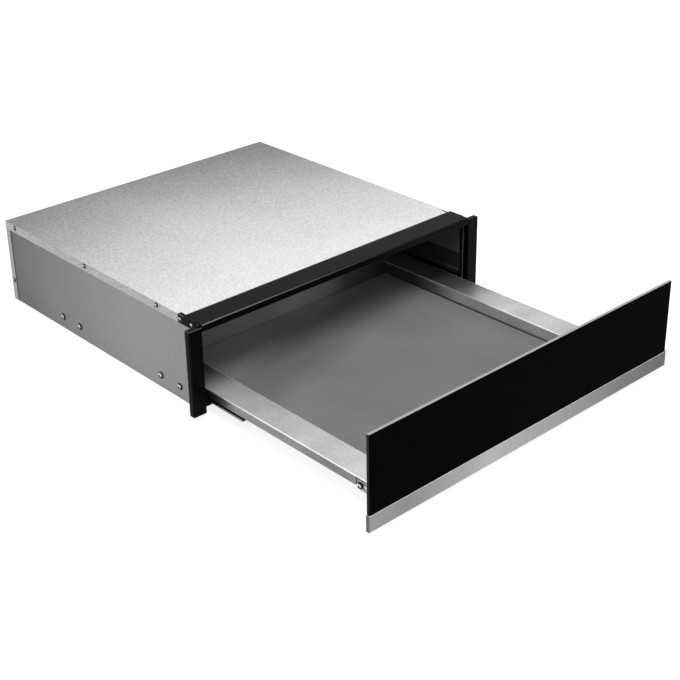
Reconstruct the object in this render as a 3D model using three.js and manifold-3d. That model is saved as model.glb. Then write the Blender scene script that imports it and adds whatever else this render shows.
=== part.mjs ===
// Built-in warming drawer, pulled out to its stop.
// Millimetres, +Z up, +Y towards the back, drawer opens towards -Y.
// Origin: middle of the casing's underside.
import * as THREE from "three";
import { mergeVertices } from "three/addons/utils/BufferGeometryUtils.js";
import Module from "manifold-3d";

const wasm = await Module();
wasm.setup();

// ---------------------------------------------------------------- driving sizes
// Casing. Depths are counted from the front face of the two flange bars.
const casingWidth = 528;
const casingHeight = 138;
const casingDepth = 514;
const sheet = 1;
const coverFlangeHeight = 13.5;
const rearWrapDepth = 11.3;
const notchWidth = 6;

// Black front frame.
const barWidth = 22.5;
const barDepth = 10;
const barBottom = 3.5;
const barTopDrop = 2.5;
const barGap = 0.5;
const barWall = 1.5;
const barRadius = 2;
const earWidth = 23;
const railDepth = 40;
const railSheet = 1.5;
const railRadius = 2.2;
const railFace = 11.5;
const railTabLength = 14;
const sillSetback = 9;
const sillHeight = 9;
const sillDepth = 15;
const sillSheet = 1.2;

// Drawer front, larger than the casing by these amounts.
const frontOverhang = 33;
const frontBottom = 4.5;
const frontRise = 2;
const frontDepth = 9;
const stripHeight = 24;
const stripReturn = 8;
const stripSheet = 1.5;
const stripRadius = 2;
const glassThickness = 4.5;
const glassSetback = 1.7;
const glassInset = 1.5;
const glassFoot = 3;
const backingSheet = 2;
const backingInset = 4;
const backingLip = 1.5;
const backingSeat = 0.5;

// Drawer travel: the front stops this far before the bars when it is pushed home.
const travel = 344;
const pushGap = 4;

// Tray: a shallow pan between two wide rims with turned-down flanges.
const trayBackRoom = 34;
const traySideRoom = 5.2;
const rimHeight = 36.5;
const rimWidth = 43.6;
const trayBend = 2;
const panFloor = 15.5;
const flangeDrop = 13.3;
const frontWallRise = 5;
const rearWallRise = 8.5;
const rearWallReturn = 10;
const flangeStart = 57;
const matThickness = 1.5;
const matClearance = 2.2;

// Brackets between the tray and the drawer front.
const frontLegInset = 3.1;
const frontLegSheet = 1.5;
const frontLegLength = 78;
const frontLegHeight = 18.5;
const frontFootInset = 2;
const frontFootRise = 23.5;
const frontFootSheet = 1.2;
const frontSlotLength = 13;
const frontSlotHeight = 1.5;
const frontSlotDrops = [7.3, 3.9];

// Telescopic runners, from the casing inwards: bracket, outer, middle, inner.
const runnerSideRoom = 4.3;
const runnerHalfWidth = 11.5;
const runnerSheet = 1.2;
const runnerFlange = 1.5;
const runnerClearance = 0.6;
const runnerWeb = 2;
const lipReach = 5.5;
const innerLipRise = 4.9;
const runnerBase = 7.2;
const bracketSheet = 1.5;
const bracketLip = 2;
const bracketHeight = 24.3;
const outerFrontRoom = 2;
const outerBackRoom = 28;
const middleFrontRoom = 74;
const middleBackRoom = 36;
const innerFrontRoom = 62;
const innerBackRoom = 12;

// Vents and cable outlet of the back panel.
const ventCount = 14;
const ventPitch = 8;
const ventWidth = 3;
const ventBottom = 14;
const ventTop = 44;
const glandX = -172;
const glandDrop = 54;
const glandRadius = 7.5;
const glandBore = 4;
const glandNut = 11;
const glandNutDepth = 4;

// Inner lining of the casing.
const liningSheet = 1;
const liningSetback = 6;
const shieldDrop = 10.5;
const shieldFlange = 52.5;
const linerOverlap = 5;
const linerLedge = 46;
const linerStep = 3;
const linerLip = 5;

// Fan heater at the back, above the closed tray.
const fanBoxWidth = 210;
const fanBoxHeight = 66;
const fanBoxRoof = 3.5;
const fanBoxDepth = 61;
const fanCentreX = 0;
const motorRadius = 20;
const motorLength = 26;
const shaftRadius = 2.5;
const impellerRadius = 26;
const impellerLength = 12;
const impellerBlades = 10;
const runningGap = 0.3;
const impellerDisc = 1.5;
const hubRadius = 6;
const bladeSheet = 1.2;
const impellerStand = 1.5;
const grilleSlots = 15;
const grillePitch = 13;
const grilleSlotWidth = 5;
const grilleMiddleReach = 60;
const heaterTube = 3;
const heaterSpread = 19;
const heaterEndRoom = 15;
const heaterSetback = 6.5;
const heaterTail = 8;
const cutOutRadius = 8;
const cutOutDepth = 5;
const cutOutSetback = 32;

// Terminal box behind the cable gland.
const terminalWidth = 56;
const terminalHeight = 38;
const terminalDepth = 26;
const terminalLid = 3;

// Controls on the back of the drawer front.
const controlSideRoom = 28.7;
const controlWidth = 115;
const controlSeat = 0.5;
const controlDrop = 42;
const controlDepth = 34;
const knobInset = 34.5;
const switchInset = 25.3;
const lensInset = 49.45;
const knobRadius = 12.5;
const knobHeight = 13;
const switchLength = 21;
const switchWidth = 12;
const switchTilt = THREE.MathUtils.degToRad(8);
const switchRise = 3.6;
const switchDip = 1.6;
const housingWall = 2;
const housingChamfer = 6;
const lensRadius = 2.5;
const lensRise = 1.2;
const knobStem = 8;
const knobNotches = 18;

// Push-to-open latch at the back.
const latchX = 160;
const latchZ = 29;
const latchWidth = 26;
const latchHeight = 17;
const latchLength = 26;
const plungerRadius = 3.5;
const plungerLength = 20;
const plungerStand = 0.5;
const plungerNose = 0.8;
const latchWall = 3;

// Screws.
const panHead = 4.6;
const panHeight = 2.6;
const shankRadius = 2;
const shankClearance = 0.3;
const smallHead = 3.4;
const smallHeight = 2.2;
const smallShank = 1.6;
const runnerScrewRise = 12.3;
const runnerScrewsFront = [26, 71];
const runnerScrewsBack = [168, 121];
const tabScrewFront = 12;
const tabScrewBack = 6;
const tabScrewDrop = 6.5;
const wrapScrewZ = 35;
const bracketScrewY = 50;
const bracketScrewDrop = 12;
const bracketHoleY = 42.3;
const bracketHoleRadius = 2.6;

// ---------------------------------------------------------------- derived sizes
const half = casingWidth / 2;
const sideOuter = half - sheet;
const sideInner = sideOuter - sheet;
const panelTop = casingHeight - sheet;
const flangeBottom = casingHeight - coverFlangeHeight;
const backInner = casingDepth - sheet;
const barInner = half - barGap;
const barOuter = barInner + barWidth;
const barTop = casingHeight - barTopDrop;
const railBottom = casingHeight + railSheet - railFace;
const sillFront = barDepth + sillSetback;
const frontWidth = casingWidth + 2 * frontOverhang;
const frontTop = casingHeight + frontRise;
const rimOuter = sideInner - traySideRoom;
const rimInner = rimOuter - rimWidth;
const trayLength = casingDepth + pushGap - trayBackRoom;
const trayFrontWallTop = rimHeight + frontWallRise;
const rearWallTop = rimHeight + rearWallRise;
const wrapFront = casingDepth - rearWrapDepth;
const casingMiddle = (barDepth + casingDepth) / 2;
const drawerY = -(pushGap + travel);
const liningStart = barDepth + liningSetback;
const shieldHeight = casingHeight - shieldDrop;
const shieldFlangeBottom = shieldHeight - shieldFlange;
const linerTop = shieldFlangeBottom + linerOverlap;
const fanBoxTop = shieldHeight - fanBoxRoof;
const fanBoxBottom = fanBoxTop - fanBoxHeight;
const fanCentreZ = (fanBoxBottom + fanBoxTop) / 2;
const glandZ = casingHeight - glandDrop;
const fanBoxFront = backInner - fanBoxDepth;
const heaterY = fanBoxFront + heaterSetback;
const motorFront = backInner - sheet - motorLength;

// Runners, with the middle one at half the drawer's way.
const runnerCentre = rimOuter - runnerSideRoom - runnerHalfWidth;
const outerStart = sillFront + sillDepth + outerFrontRoom;
const outerEnd = casingDepth - outerBackRoom;
const middleStart = outerStart + middleFrontRoom - travel / 2;
const middleEnd = outerEnd - middleBackRoom - travel / 2;
const innerStart = innerFrontRoom;
const innerEnd = trayLength - innerBackRoom;
const runnerScrewZ = runnerBase + runnerScrewRise;
const runnerScrewDepths = [
  ...runnerScrewsFront.map((step) => outerStart + step),
  ...runnerScrewsBack.map((step) => outerEnd - step),
];
const tabScrewDepths = [barDepth + tabScrewFront, railDepth + railTabLength - tabScrewBack];
const tabScrewZ = casingHeight - tabScrewDrop;
const bracketScrewZ = rimHeight - bracketScrewDrop;

// ---------------------------------------------------------------- materials
const finish = (color, roughness, metalness) =>
  new THREE.MeshStandardMaterial({ color, roughness, metalness, flatShading: true });
const galvanised = finish(0xb9bbbc, 0.45, 0.8);
const blackPaint = finish(0x1b1c1d, 0.5, 0.2);
const liningPaint = finish(0x242526, 0.6, 0.2);
const brushedSteel = finish(0xc4c3c0, 0.35, 1.0);
const zincSteel = finish(0xa9abad, 0.4, 0.9);
const blackGlass = finish(0x050608, 0.06, 0.0);
const matRubber = finish(0x55575a, 0.85, 0.0);
const darkPlastic = finish(0x202123, 0.6, 0.0);
const heaterSteel = finish(0x6d6760, 0.5, 0.9);
const motorSteel = finish(0x8c8e90, 0.45, 0.8);
const palePlastic = finish(0xd8d8d2, 0.6, 0.0);
const amberLens = finish(0xc46a1a, 0.25, 0.0);

// ---------------------------------------------------------------- making solids
function solidOf(geometry) {
  const bare = geometry.clone();
  bare.deleteAttribute("normal");
  bare.deleteAttribute("uv");
  const merged = mergeVertices(bare, 1e-4);
  return new wasm.Manifold(
    new wasm.Mesh({
      numProp: 3,
      vertProperties: Float32Array.from(merged.attributes.position.array),
      triVerts: Uint32Array.from(merged.index.array),
    }),
  );
}

function geometryOf(solid) {
  const { vertProperties, triVerts } = solid.getMesh();
  const geometry = new THREE.BufferGeometry();
  geometry.setAttribute("position", new THREE.BufferAttribute(vertProperties, 3));
  geometry.setIndex(new THREE.BufferAttribute(triVerts, 1));
  return geometry;
}

const joined = (...solids) => solids.reduce((whole, next) => whole.add(next));
const cutBy = (solid, ...tools) => tools.reduce((rest, tool) => rest.subtract(tool), solid);

function block(x0, x1, y0, y1, z0, z1) {
  const geometry = new THREE.BoxGeometry(x1 - x0, y1 - y0, z1 - z0);
  geometry.translate((x0 + x1) / 2, (y0 + y1) / 2, (z0 + z1) / 2);
  return solidOf(geometry);
}

// The path with its inner corners turned into arcs.
function rounded(path, radius, steps = 4) {
  const points = path.map(([u, v]) => new THREE.Vector2(u, v));
  const arcs = points.map((corner, i) => {
    if (i === 0 || i === points.length - 1) return [corner];
    const back = points[i - 1].clone().sub(corner).normalize();
    const on = points[i + 1].clone().sub(corner).normalize();
    const halfAngle = Math.acos(back.dot(on)) / 2;
    const reach = radius / Math.tan(halfAngle);
    const bisector = back.clone().add(on).normalize();
    const centre = bisector.multiplyScalar(radius / Math.sin(halfAngle)).add(corner);
    const start = back.multiplyScalar(reach).add(corner).sub(centre);
    const end = on.multiplyScalar(reach).add(corner).sub(centre);
    const sweep = Math.atan2(start.cross(end), start.dot(end));
    const turn = (k) => start.clone().rotateAround(new THREE.Vector2(), (sweep * k) / steps);
    return Array.from({ length: steps + 1 }, (_, k) => turn(k).add(centre));
  });
  return arcs.flat().map((point) => [point.x, point.y]);
}

// The outline of a folded sheet: one face follows the path, the other lies to its left.
function foldedOutline(path, thickness) {
  const points = path.map(([u, v]) => new THREE.Vector2(u, v));
  const left = (a, b) => {
    const along = b.clone().sub(a).normalize();
    return new THREE.Vector2(-along.y, along.x);
  };
  const inner = points.map((point, i) => {
    const before = i > 0 ? left(points[i - 1], point) : null;
    const after = i < points.length - 1 ? left(point, points[i + 1]) : null;
    const mitre = (before ?? after).clone().add(after ?? before).normalize();
    return mitre.multiplyScalar(thickness / mitre.dot(before ?? after)).add(point);
  });
  return [...points, ...inner.reverse()];
}

const axesOf = {
  x: [new THREE.Vector3(0, 1, 0), new THREE.Vector3(0, 0, 1), new THREE.Vector3(1, 0, 0)],
  y: [new THREE.Vector3(1, 0, 0), new THREE.Vector3(0, 0, 1), new THREE.Vector3(0, -1, 0)],
  z: [new THREE.Vector3(1, 0, 0), new THREE.Vector3(0, 1, 0), new THREE.Vector3(0, 0, 1)],
};

// A prism of an outline along an axis. The outline is in (y, z), (x, z) or (x, y).
function prism(outline, axis, start, end) {
  const shape = new THREE.Shape(outline.map(([u, v]) => new THREE.Vector2(u, v)));
  const geometry = new THREE.ExtrudeGeometry(shape, { depth: end - start, bevelEnabled: false });
  geometry.applyMatrix4(new THREE.Matrix4().makeBasis(...axesOf[axis]));
  const shift = { x: [start, 0, 0], y: [0, end, 0], z: [0, 0, start] }[axis];
  geometry.translate(...shift);
  return solidOf(geometry);
}

const folded = (path, thickness, axis, start, end) =>
  prism(
    foldedOutline(path, thickness).map((point) => [point.x, point.y]),
    axis,
    start,
    end,
  );

// A cylinder along an axis, by its centre line and its two ends.
function rod(axis, centre, radius, start, end, segments = 24) {
  const geometry = new THREE.CylinderGeometry(radius, radius, end - start, segments);
  if (axis === "x") geometry.rotateZ(Math.PI / 2);
  if (axis === "z") geometry.rotateX(Math.PI / 2);
  const middle = (start + end) / 2;
  const place = {
    x: [middle, centre[0], centre[1]],
    y: [centre[0], middle, centre[1]],
    z: [centre[0], centre[1], middle],
  }[axis];
  geometry.translate(...place);
  return solidOf(geometry);
}

// Mirrors an outline in (x, z) to the left or the right side.
const onSide = (side, points) => points.map(([x, z]) => [side * x, z]);

// A folded sheet along Y on one side; the sheet's other face stays on the same side of it.
function sideFolded(side, path, thickness, start, end) {
  const outline = foldedOutline(path, thickness).map((point) => [point.x, point.y]);
  return prism(onSide(side, outline), "y", start, end);
}

const sideBlock = (side, x0, x1, ...rest) =>
  side > 0 ? block(x0, x1, ...rest) : block(-x1, -x0, ...rest);

const sideRod = (side, centre, radius, x0, x1) =>
  side > 0 ? rod("x", centre, radius, x0, x1) : rod("x", centre, radius, -x1, -x0);

// ---------------------------------------------------------------- the assembly
const drawerGroup = new THREE.Group();
drawerGroup.position.y = drawerY;
const casingGroup = new THREE.Group();
const appliance = new THREE.Group();
appliance.add(casingGroup, drawerGroup);
appliance.position.y = -casingMiddle;

function place(group, name, shape, material, position = [0, 0, 0], rotation = [0, 0, 0]) {
  const geometry = shape.isBufferGeometry ? shape : geometryOf(shape);
  const mesh = new THREE.Mesh(geometry, material);
  mesh.name = name;
  mesh.position.set(...position);
  mesh.rotation.set(...rotation);
  group.add(mesh);
  return mesh;
}

const sides = [
  ["left", -1],
  ["right", 1],
];

// ---------------------------------------------------------------- fasteners
// A pan-head screw: its axis is Z, its head rests on z = 0 and its shank points down.
function screw(headRadius, headHeight, shank, length) {
  const profile = [
    [0, -length],
    [shank * 0.6, -length],
    [shank, -length + shank],
    [shank, 0],
    [headRadius, 0],
    [headRadius, headHeight * 0.35],
    [headRadius * 0.86, headHeight * 0.75],
    [headRadius * 0.55, headHeight],
    [0, headHeight],
  ].map(([r, h]) => new THREE.Vector2(r, h));
  const turned = new THREE.LatheGeometry(profile, 20);
  turned.rotateX(Math.PI / 2);
  const slotWidth = headRadius * 0.14;
  const slotReach = headRadius * 0.55;
  const depth = headHeight * 0.5;
  const cross = joined(
    block(-slotReach, slotReach, -slotWidth, slotWidth, headHeight - depth, headHeight + 1),
    block(-slotWidth, slotWidth, -slotReach, slotReach, headHeight - depth, headHeight + 1),
  );
  return geometryOf(cutBy(solidOf(turned), cross));
}

const sideways = (side) => [0, (side * Math.PI) / 2, 0];

// ---------------------------------------------------------------- casing shell
function sidePanel(side) {
  const wall = sideBlock(side, sideInner, sideOuter, barDepth, backInner, 0, panelTop);
  const earOuter = sideInner + earWidth;
  const ear = sideBlock(
    side, sideInner, earOuter, barDepth, barDepth + sheet, barBottom + 2, flangeBottom - 2,
  );
  const holes = runnerScrewDepths.map((y) =>
    sideRod(side, [y, runnerScrewZ], shankRadius + shankClearance, sideInner - 1, sideOuter + 1),
  );
  const tabHoles = tabScrewDepths.map((y) =>
    sideRod(side, [y, tabScrewZ], smallShank + shankClearance, sideInner - 1, sideOuter + 1),
  );
  const wrapHole = sideRod(
    side, [(wrapFront + backInner) / 2, wrapScrewZ], smallShank + shankClearance,
    sideInner - 1, sideOuter + 1,
  );
  return cutBy(joined(wall, ear), ...holes, ...tabHoles, wrapHole);
}

function topCover() {
  const notchFront = railDepth + railTabLength;
  const width = sideOuter - barGap;
  const plate = block(-half, half, notchFront, casingDepth, panelTop, casingHeight);
  const tongue = block(-width, width, liningStart, notchFront + 1, panelTop, casingHeight);
  const flanges = sides.map(([, side]) =>
    sideBlock(side, sideOuter, half, notchFront + barGap, backInner, flangeBottom, panelTop),
  );
  const notches = sides.map(([, side]) =>
    sideBlock(
      side, half - notchWidth, half + 1, railDepth, notchFront, panelTop - 1, casingHeight + 1,
    ),
  );
  return cutBy(joined(plate, tongue, ...flanges), ...notches);
}

function backPanel() {
  const plate = block(-half, half, backInner, casingDepth, 0, panelTop);
  const wraps = sides.map(([, side]) =>
    sideBlock(side, sideOuter, half, wrapFront, backInner, 0, flangeBottom - 0.3),
  );
  const wrapHoles = sides.map(([, side]) =>
    sideRod(
      side, [(wrapFront + backInner) / 2, wrapScrewZ], smallShank + shankClearance,
      sideOuter - 1, half + 1,
    ),
  );
  const slots = [];
  for (let i = 0; i < ventCount; i += 1) {
    const x = (i - (ventCount - 1) / 2) * ventPitch - ventWidth / 2;
    slots.push(block(x, x + ventWidth, backInner - 1, casingDepth + 1, ventBottom, ventTop));
  }
  const cable = rod(
    "y", [glandX, glandZ], glandRadius + shankClearance, backInner - 1, casingDepth + 1,
  );
  return cutBy(joined(plate, ...wraps), ...wrapHoles, ...slots, cable);
}

function basePanel() {
  const front = sillFront + sillDepth + 0.3;
  const hem = runnerBase - 0.3;
  const path = [
    [-sideInner, hem],
    [-sideInner, 0],
    [sideInner, 0],
    [sideInner, hem],
  ];
  return folded(path, sheet, "y", front, backInner);
}

place(casingGroup, "base_panel", basePanel(), galvanised);
for (const [name, side] of sides) {
  place(casingGroup, `${name}_side_panel`, sidePanel(side), galvanised);
}
place(casingGroup, "back_panel", backPanel(), galvanised);
place(casingGroup, "top_cover", topCover(), galvanised);

// ---------------------------------------------------------------- black front frame
function topRail() {
  const top = casingHeight + railSheet;
  const path = [
    [barDepth - barGap, railBottom],
    [0, railBottom],
    [0, top],
    [railDepth, top],
  ];
  const bent = rounded(path.reverse(), railRadius);
  const channel = folded(bent, railSheet, "x", -barInner + barGap, barInner - barGap);
  const tabs = sides.flatMap(([, side]) => [
    sideBlock(side, sideOuter, half, barDepth + 2, railDepth, flangeBottom, top),
    sideBlock(
      side, sideOuter, half, railDepth - 1, railDepth + railTabLength, flangeBottom, panelTop - 0.3,
    ),
    sideBlock(side, barInner - 2, half, barDepth + 2, railDepth, casingHeight, top),
  ]);
  const holes = sides.flatMap(([, side]) =>
    tabScrewDepths.map((y) =>
      sideRod(side, [y, tabScrewZ], smallShank + shankClearance, sideOuter - 1, half + 1),
    ),
  );
  return cutBy(joined(channel, ...tabs), ...holes);
}

function flangeBar(side) {
  const corners = [
    [barInner, barDepth],
    [barInner, 0],
    [barOuter, 0],
    [barOuter, barDepth],
  ];
  const outline = rounded(corners, barRadius);
  const pocket = sideBlock(
    side, barInner + barWall, barOuter - barWall, barWall, barDepth + 1,
    barBottom + barWall, barTop - barWall,
  );
  return cutBy(prism(onSide(side, outline), "z", barBottom, barTop), pocket);
}

function frontSill() {
  const path = [
    [sillFront + sillDepth, 0],
    [sillFront, 0],
    [sillFront, sillHeight],
    [sillFront + sillDepth * 0.5, sillHeight],
  ];
  return folded(path.reverse(), sillSheet, "x", -sideInner, sideInner);
}

place(casingGroup, "front_top_rail", topRail(), blackPaint);
for (const [name, side] of sides) {
  place(casingGroup, `front_flange_${name}`, flangeBar(side), blackPaint);
}
place(casingGroup, "front_bottom_rail", frontSill(), blackPaint);

// ---------------------------------------------------------------- lining
function heatShield() {
  const edge = sideInner - liningSheet;
  const path = [
    [edge, shieldFlangeBottom],
    [edge, shieldHeight],
    [-edge, shieldHeight],
    [-edge, shieldFlangeBottom],
  ];
  return folded(path, liningSheet, "y", liningStart, backInner);
}

function sideLiner(side) {
  const path = [
    [sideInner, linerTop],
    [sideInner, linerLedge],
    [sideInner - linerStep, linerLedge],
    [sideInner - linerStep, linerLedge - linerLip],
  ].reverse();
  return sideFolded(side, path, liningSheet, liningStart, backInner);
}

place(casingGroup, "heat_shield", heatShield(), liningPaint);
for (const [name, side] of sides) {
  place(casingGroup, `${name}_side_liner`, sideLiner(side), liningPaint);
}

// ---------------------------------------------------------------- runners
const runnerInnerX = runnerCentre - runnerHalfWidth;
const runnerOuterX = runnerCentre + runnerHalfWidth;
const outerFloor = runnerBase + bracketSheet;
const middleBottom = outerFloor + runnerSheet + runnerClearance;
const innerLipBottom = panFloor + innerLipRise;
const middleTop = innerLipBottom + runnerSheet + runnerClearance + runnerFlange;
const beamHalf = runnerHalfWidth - runnerSheet - runnerClearance;

function runnerBracket(side) {
  const path = [
    [sideInner, runnerBase + bracketHeight],
    [sideInner, runnerBase],
    [runnerInnerX - bracketLip, runnerBase],
  ].reverse();
  const holes = runnerScrewDepths.map((y) =>
    sideRod(side, [y, runnerScrewZ], shankRadius + shankClearance, sideInner - 4, sideInner + 1),
  );
  const bent = sideFolded(side, path, bracketSheet, outerStart, outerEnd);
  return cutBy(bent, ...holes);
}

function runnerOuter(side) {
  const lip = middleBottom + runnerFlange + runnerClearance + runnerSheet;
  const path = [
    [runnerInnerX + lipReach, lip],
    [runnerInnerX, lip],
    [runnerInnerX, outerFloor],
    [runnerOuterX, outerFloor],
    [runnerOuterX, lip],
    [runnerOuterX - lipReach, lip],
  ];
  return sideFolded(side, path, runnerSheet, outerStart, outerEnd);
}

function runnerMiddle(side) {
  const low = runnerCentre - beamHalf;
  const high = runnerCentre + beamHalf;
  const webLow = runnerCentre - runnerWeb / 2;
  const webHigh = runnerCentre + runnerWeb / 2;
  const beam = [
    [low, middleBottom],
    [high, middleBottom],
    [high, middleBottom + runnerFlange],
    [webHigh, middleBottom + runnerFlange],
    [webHigh, middleTop - runnerFlange],
    [high, middleTop - runnerFlange],
    [high, middleTop],
    [low, middleTop],
    [low, middleTop - runnerFlange],
    [webLow, middleTop - runnerFlange],
    [webLow, middleBottom + runnerFlange],
    [low, middleBottom + runnerFlange],
  ];
  return prism(onSide(side, beam), "y", middleStart, middleEnd);
}

function runnerInner(side) {
  const top = rimHeight - sheet;
  const path = [
    [runnerOuterX - lipReach, innerLipBottom],
    [runnerOuterX, innerLipBottom],
    [runnerOuterX, top],
    [runnerInnerX, top],
    [runnerInnerX, innerLipBottom],
    [runnerInnerX + lipReach, innerLipBottom],
  ];
  return sideFolded(side, path, runnerSheet, innerStart, innerEnd);
}

const runnerScrew = screw(panHead, panHeight, shankRadius, 3.6);
for (const [name, side] of sides) {
  place(casingGroup, `${name}_runner_bracket`, runnerBracket(side), zincSteel);
  place(casingGroup, `${name}_runner_outer`, runnerOuter(side), zincSteel);
  place(casingGroup, `${name}_runner_middle`, runnerMiddle(side), zincSteel);
  place(drawerGroup, `${name}_runner_inner`, runnerInner(side), zincSteel);
  runnerScrewDepths.forEach((y, i) => {
    const at = [side * sideOuter, y, runnerScrewZ];
    const screwName = `${name}_runner_screw_${i + 1}`;
    place(casingGroup, screwName, runnerScrew, zincSteel, at, sideways(side));
  });
}

// Small screws of the front rail's tabs and of the back panel's wraps.
const tabScrew = screw(smallHead, smallHeight, smallShank, 2.4);
for (const [name, side] of sides) {
  tabScrewDepths.forEach((y, i) => {
    const at = [side * half, y, tabScrewZ];
    place(casingGroup, `${name}_rail_screw_${i + 1}`, tabScrew, zincSteel, at, sideways(side));
  });
  const wrapAt = [side * half, (wrapFront + backInner) / 2, wrapScrewZ];
  place(casingGroup, `${name}_back_screw`, tabScrew, zincSteel, wrapAt, sideways(side));
}

// ---------------------------------------------------------------- fan heater
function fanBox() {
  const w = fanBoxWidth / 2;
  const shell = block(-w, w, fanBoxFront, backInner, fanBoxBottom, fanBoxTop);
  const inside = block(
    -w + sheet, w - sheet, fanBoxFront - 1, backInner - sheet,
    fanBoxBottom + sheet, fanBoxTop - sheet,
  );
  const heaterHoles = [-1, 1].map((k) =>
    rod(
      "x", [heaterY, fanCentreZ + k * heaterSpread], heaterTube + runningGap, -w - 1, -w + sheet + 1,
    ),
  );
  return cutBy(shell, inside, ...heaterHoles);
}

function fanGrille() {
  const w = fanBoxWidth / 2;
  const plate = block(-w, w, fanBoxFront - sheet, fanBoxFront, fanBoxBottom, fanBoxTop);
  const slots = [];
  for (let i = 0; i < grilleSlots; i += 1) {
    const x = (i - (grilleSlots - 1) / 2) * grillePitch;
    const reach = Math.abs(x) > grilleMiddleReach ? heaterSpread + 1 : impellerRadius;
    slots.push(
      block(
        x - grilleSlotWidth / 2, x + grilleSlotWidth / 2, fanBoxFront - 2, fanBoxFront + 1,
        fanCentreZ - reach, fanCentreZ + reach,
      ),
    );
  }
  return cutBy(plate, ...slots);
}

function fanMotor() {
  const shaftEnd = motorFront - impellerLength - 2 * impellerStand;
  return joined(
    rod("y", [fanCentreX, fanCentreZ], motorRadius, motorFront, backInner - sheet, 32),
    rod("y", [fanCentreX, fanCentreZ], shaftRadius, shaftEnd, motorFront + 1, 16),
  );
}

// Straight blades from a hub, on a rear disc; the axis is Y through the local origin.
function impeller() {
  const disc = rod("y", [0, 0], impellerRadius, impellerLength - impellerDisc, impellerLength, 40);
  const hub = rod("y", [0, 0], hubRadius, 0, impellerLength, 24);
  const blade = block(
    hubRadius - 1, impellerRadius - 1, 0, impellerLength, -bladeSheet / 2, bladeSheet / 2,
  );
  const blades = [];
  for (let i = 0; i < impellerBlades; i += 1) {
    blades.push(blade.rotate([0, (i * 360) / impellerBlades, 0]));
  }
  const bore = rod("y", [0, 0], shaftRadius + runningGap, -1, impellerLength + 1, 16);
  return cutBy(joined(disc, hub, ...blades), bore);
}

class Hairpin extends THREE.Curve {
  getPoint(t, target = new THREE.Vector3()) {
    const start = -fanBoxWidth / 2 - heaterTail;
    const straight = fanBoxWidth / 2 - heaterEndRoom - heaterSpread - start;
    const bend = Math.PI * heaterSpread;
    const s = t * (2 * straight + bend);
    if (s < straight) return target.set(start + s, heaterY, fanCentreZ + heaterSpread);
    if (s > straight + bend) {
      return target.set(start + 2 * straight + bend - s, heaterY, fanCentreZ - heaterSpread);
    }
    const angle = (s - straight) / heaterSpread;
    return target.set(
      start + straight + heaterSpread * Math.sin(angle),
      heaterY,
      fanCentreZ + heaterSpread * Math.cos(angle),
    );
  }
}

function heaterElement() {
  const section = new THREE.Shape();
  section.absarc(0, 0, heaterTube, 0, Math.PI * 2);
  const geometry = new THREE.ExtrudeGeometry(section, {
    steps: 72,
    curveSegments: 5,
    extrudePath: new Hairpin(),
  });
  return solidOf(geometry);
}

place(casingGroup, "fan_housing", fanBox(), galvanised);
place(casingGroup, "fan_grille", fanGrille(), galvanised);
place(casingGroup, "fan_motor", fanMotor(), motorSteel);
place(casingGroup, "fan_impeller", impeller(), motorSteel, [
  fanCentreX,
  motorFront - impellerLength - impellerStand,
  fanCentreZ,
]);
place(casingGroup, "heating_element", heaterElement(), heaterSteel);

function thermalCutOut() {
  const wall = fanBoxWidth / 2;
  const y = fanBoxFront + cutOutSetback;
  const tabReach = cutOutRadius + 2;
  return joined(
    rod("x", [y, fanCentreZ], cutOutRadius, wall, wall + cutOutDepth),
    block(
      wall + cutOutDepth - 1, wall + cutOutDepth + 4, y - 3, y + 3,
      fanCentreZ - tabReach, fanCentreZ + tabReach,
    ),
  );
}

function terminalBox() {
  const w = terminalWidth / 2;
  const h = terminalHeight / 2;
  const front = backInner - terminalDepth;
  const rim = terminalLid - 1;
  return joined(
    block(glandX - w, glandX + w, front, backInner, glandZ - h, glandZ + h),
    block(glandX - w - rim, glandX + w + rim, front - rim, front + 1, glandZ - h - rim, glandZ + h + rim),
  );
}

function cableGland() {
  const nutBack = casingDepth + glandNutDepth;
  const body = joined(
    rod("y", [glandX, glandZ], glandRadius, backInner, casingDepth + 1),
    rod("y", [glandX, glandZ], glandNut, casingDepth, nutBack, 6),
  );
  return cutBy(body, rod("y", [glandX, glandZ], glandBore, backInner - 1, nutBack + 1));
}

place(casingGroup, "thermal_cut_out", thermalCutOut(), palePlastic);
place(casingGroup, "terminal_box", terminalBox(), palePlastic);
place(casingGroup, "cable_gland", cableGland(), darkPlastic);

// ---------------------------------------------------------------- push-to-open latch
const plungerTip = drawerY + travel + trayLength + plungerStand;

function latchBody() {
  const front = backInner - latchLength;
  const body = block(
    latchX - latchWidth / 2, latchX + latchWidth / 2, front, backInner,
    latchZ - latchHeight / 2, latchZ + latchHeight / 2,
  );
  const bore = rod("y", [latchX, latchZ], plungerRadius + runningGap, front - 1, backInner - latchWall);
  return cutBy(body, bore);
}

function latchPlunger() {
  return joined(
    rod("y", [latchX, latchZ], plungerRadius, plungerTip + 1, plungerTip + plungerLength),
    rod("y", [latchX, latchZ], plungerRadius - plungerNose, plungerTip, plungerTip + 2),
  );
}

place(casingGroup, "latch_body", latchBody(), darkPlastic);
place(casingGroup, "latch_plunger", latchPlunger(), palePlastic);

// ---------------------------------------------------------------- drawer front
// In the drawer's own frame y = 0 is the plane that meets the flange bars.
const glassFront = -frontDepth + glassSetback;
const glassBack = glassFront + glassThickness;
const backingBack = glassBack + backingSheet;
const glassHalf = frontWidth / 2 - glassInset;
const stripTop = frontBottom + stripHeight;
const frontLegInner = rimOuter - frontLegInset;
const frontLegBottom = rimHeight - frontLegHeight;
const frontFootOuter = barOuter - frontFootInset;
const frontFootTop = rimHeight + frontFootRise;

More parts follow.
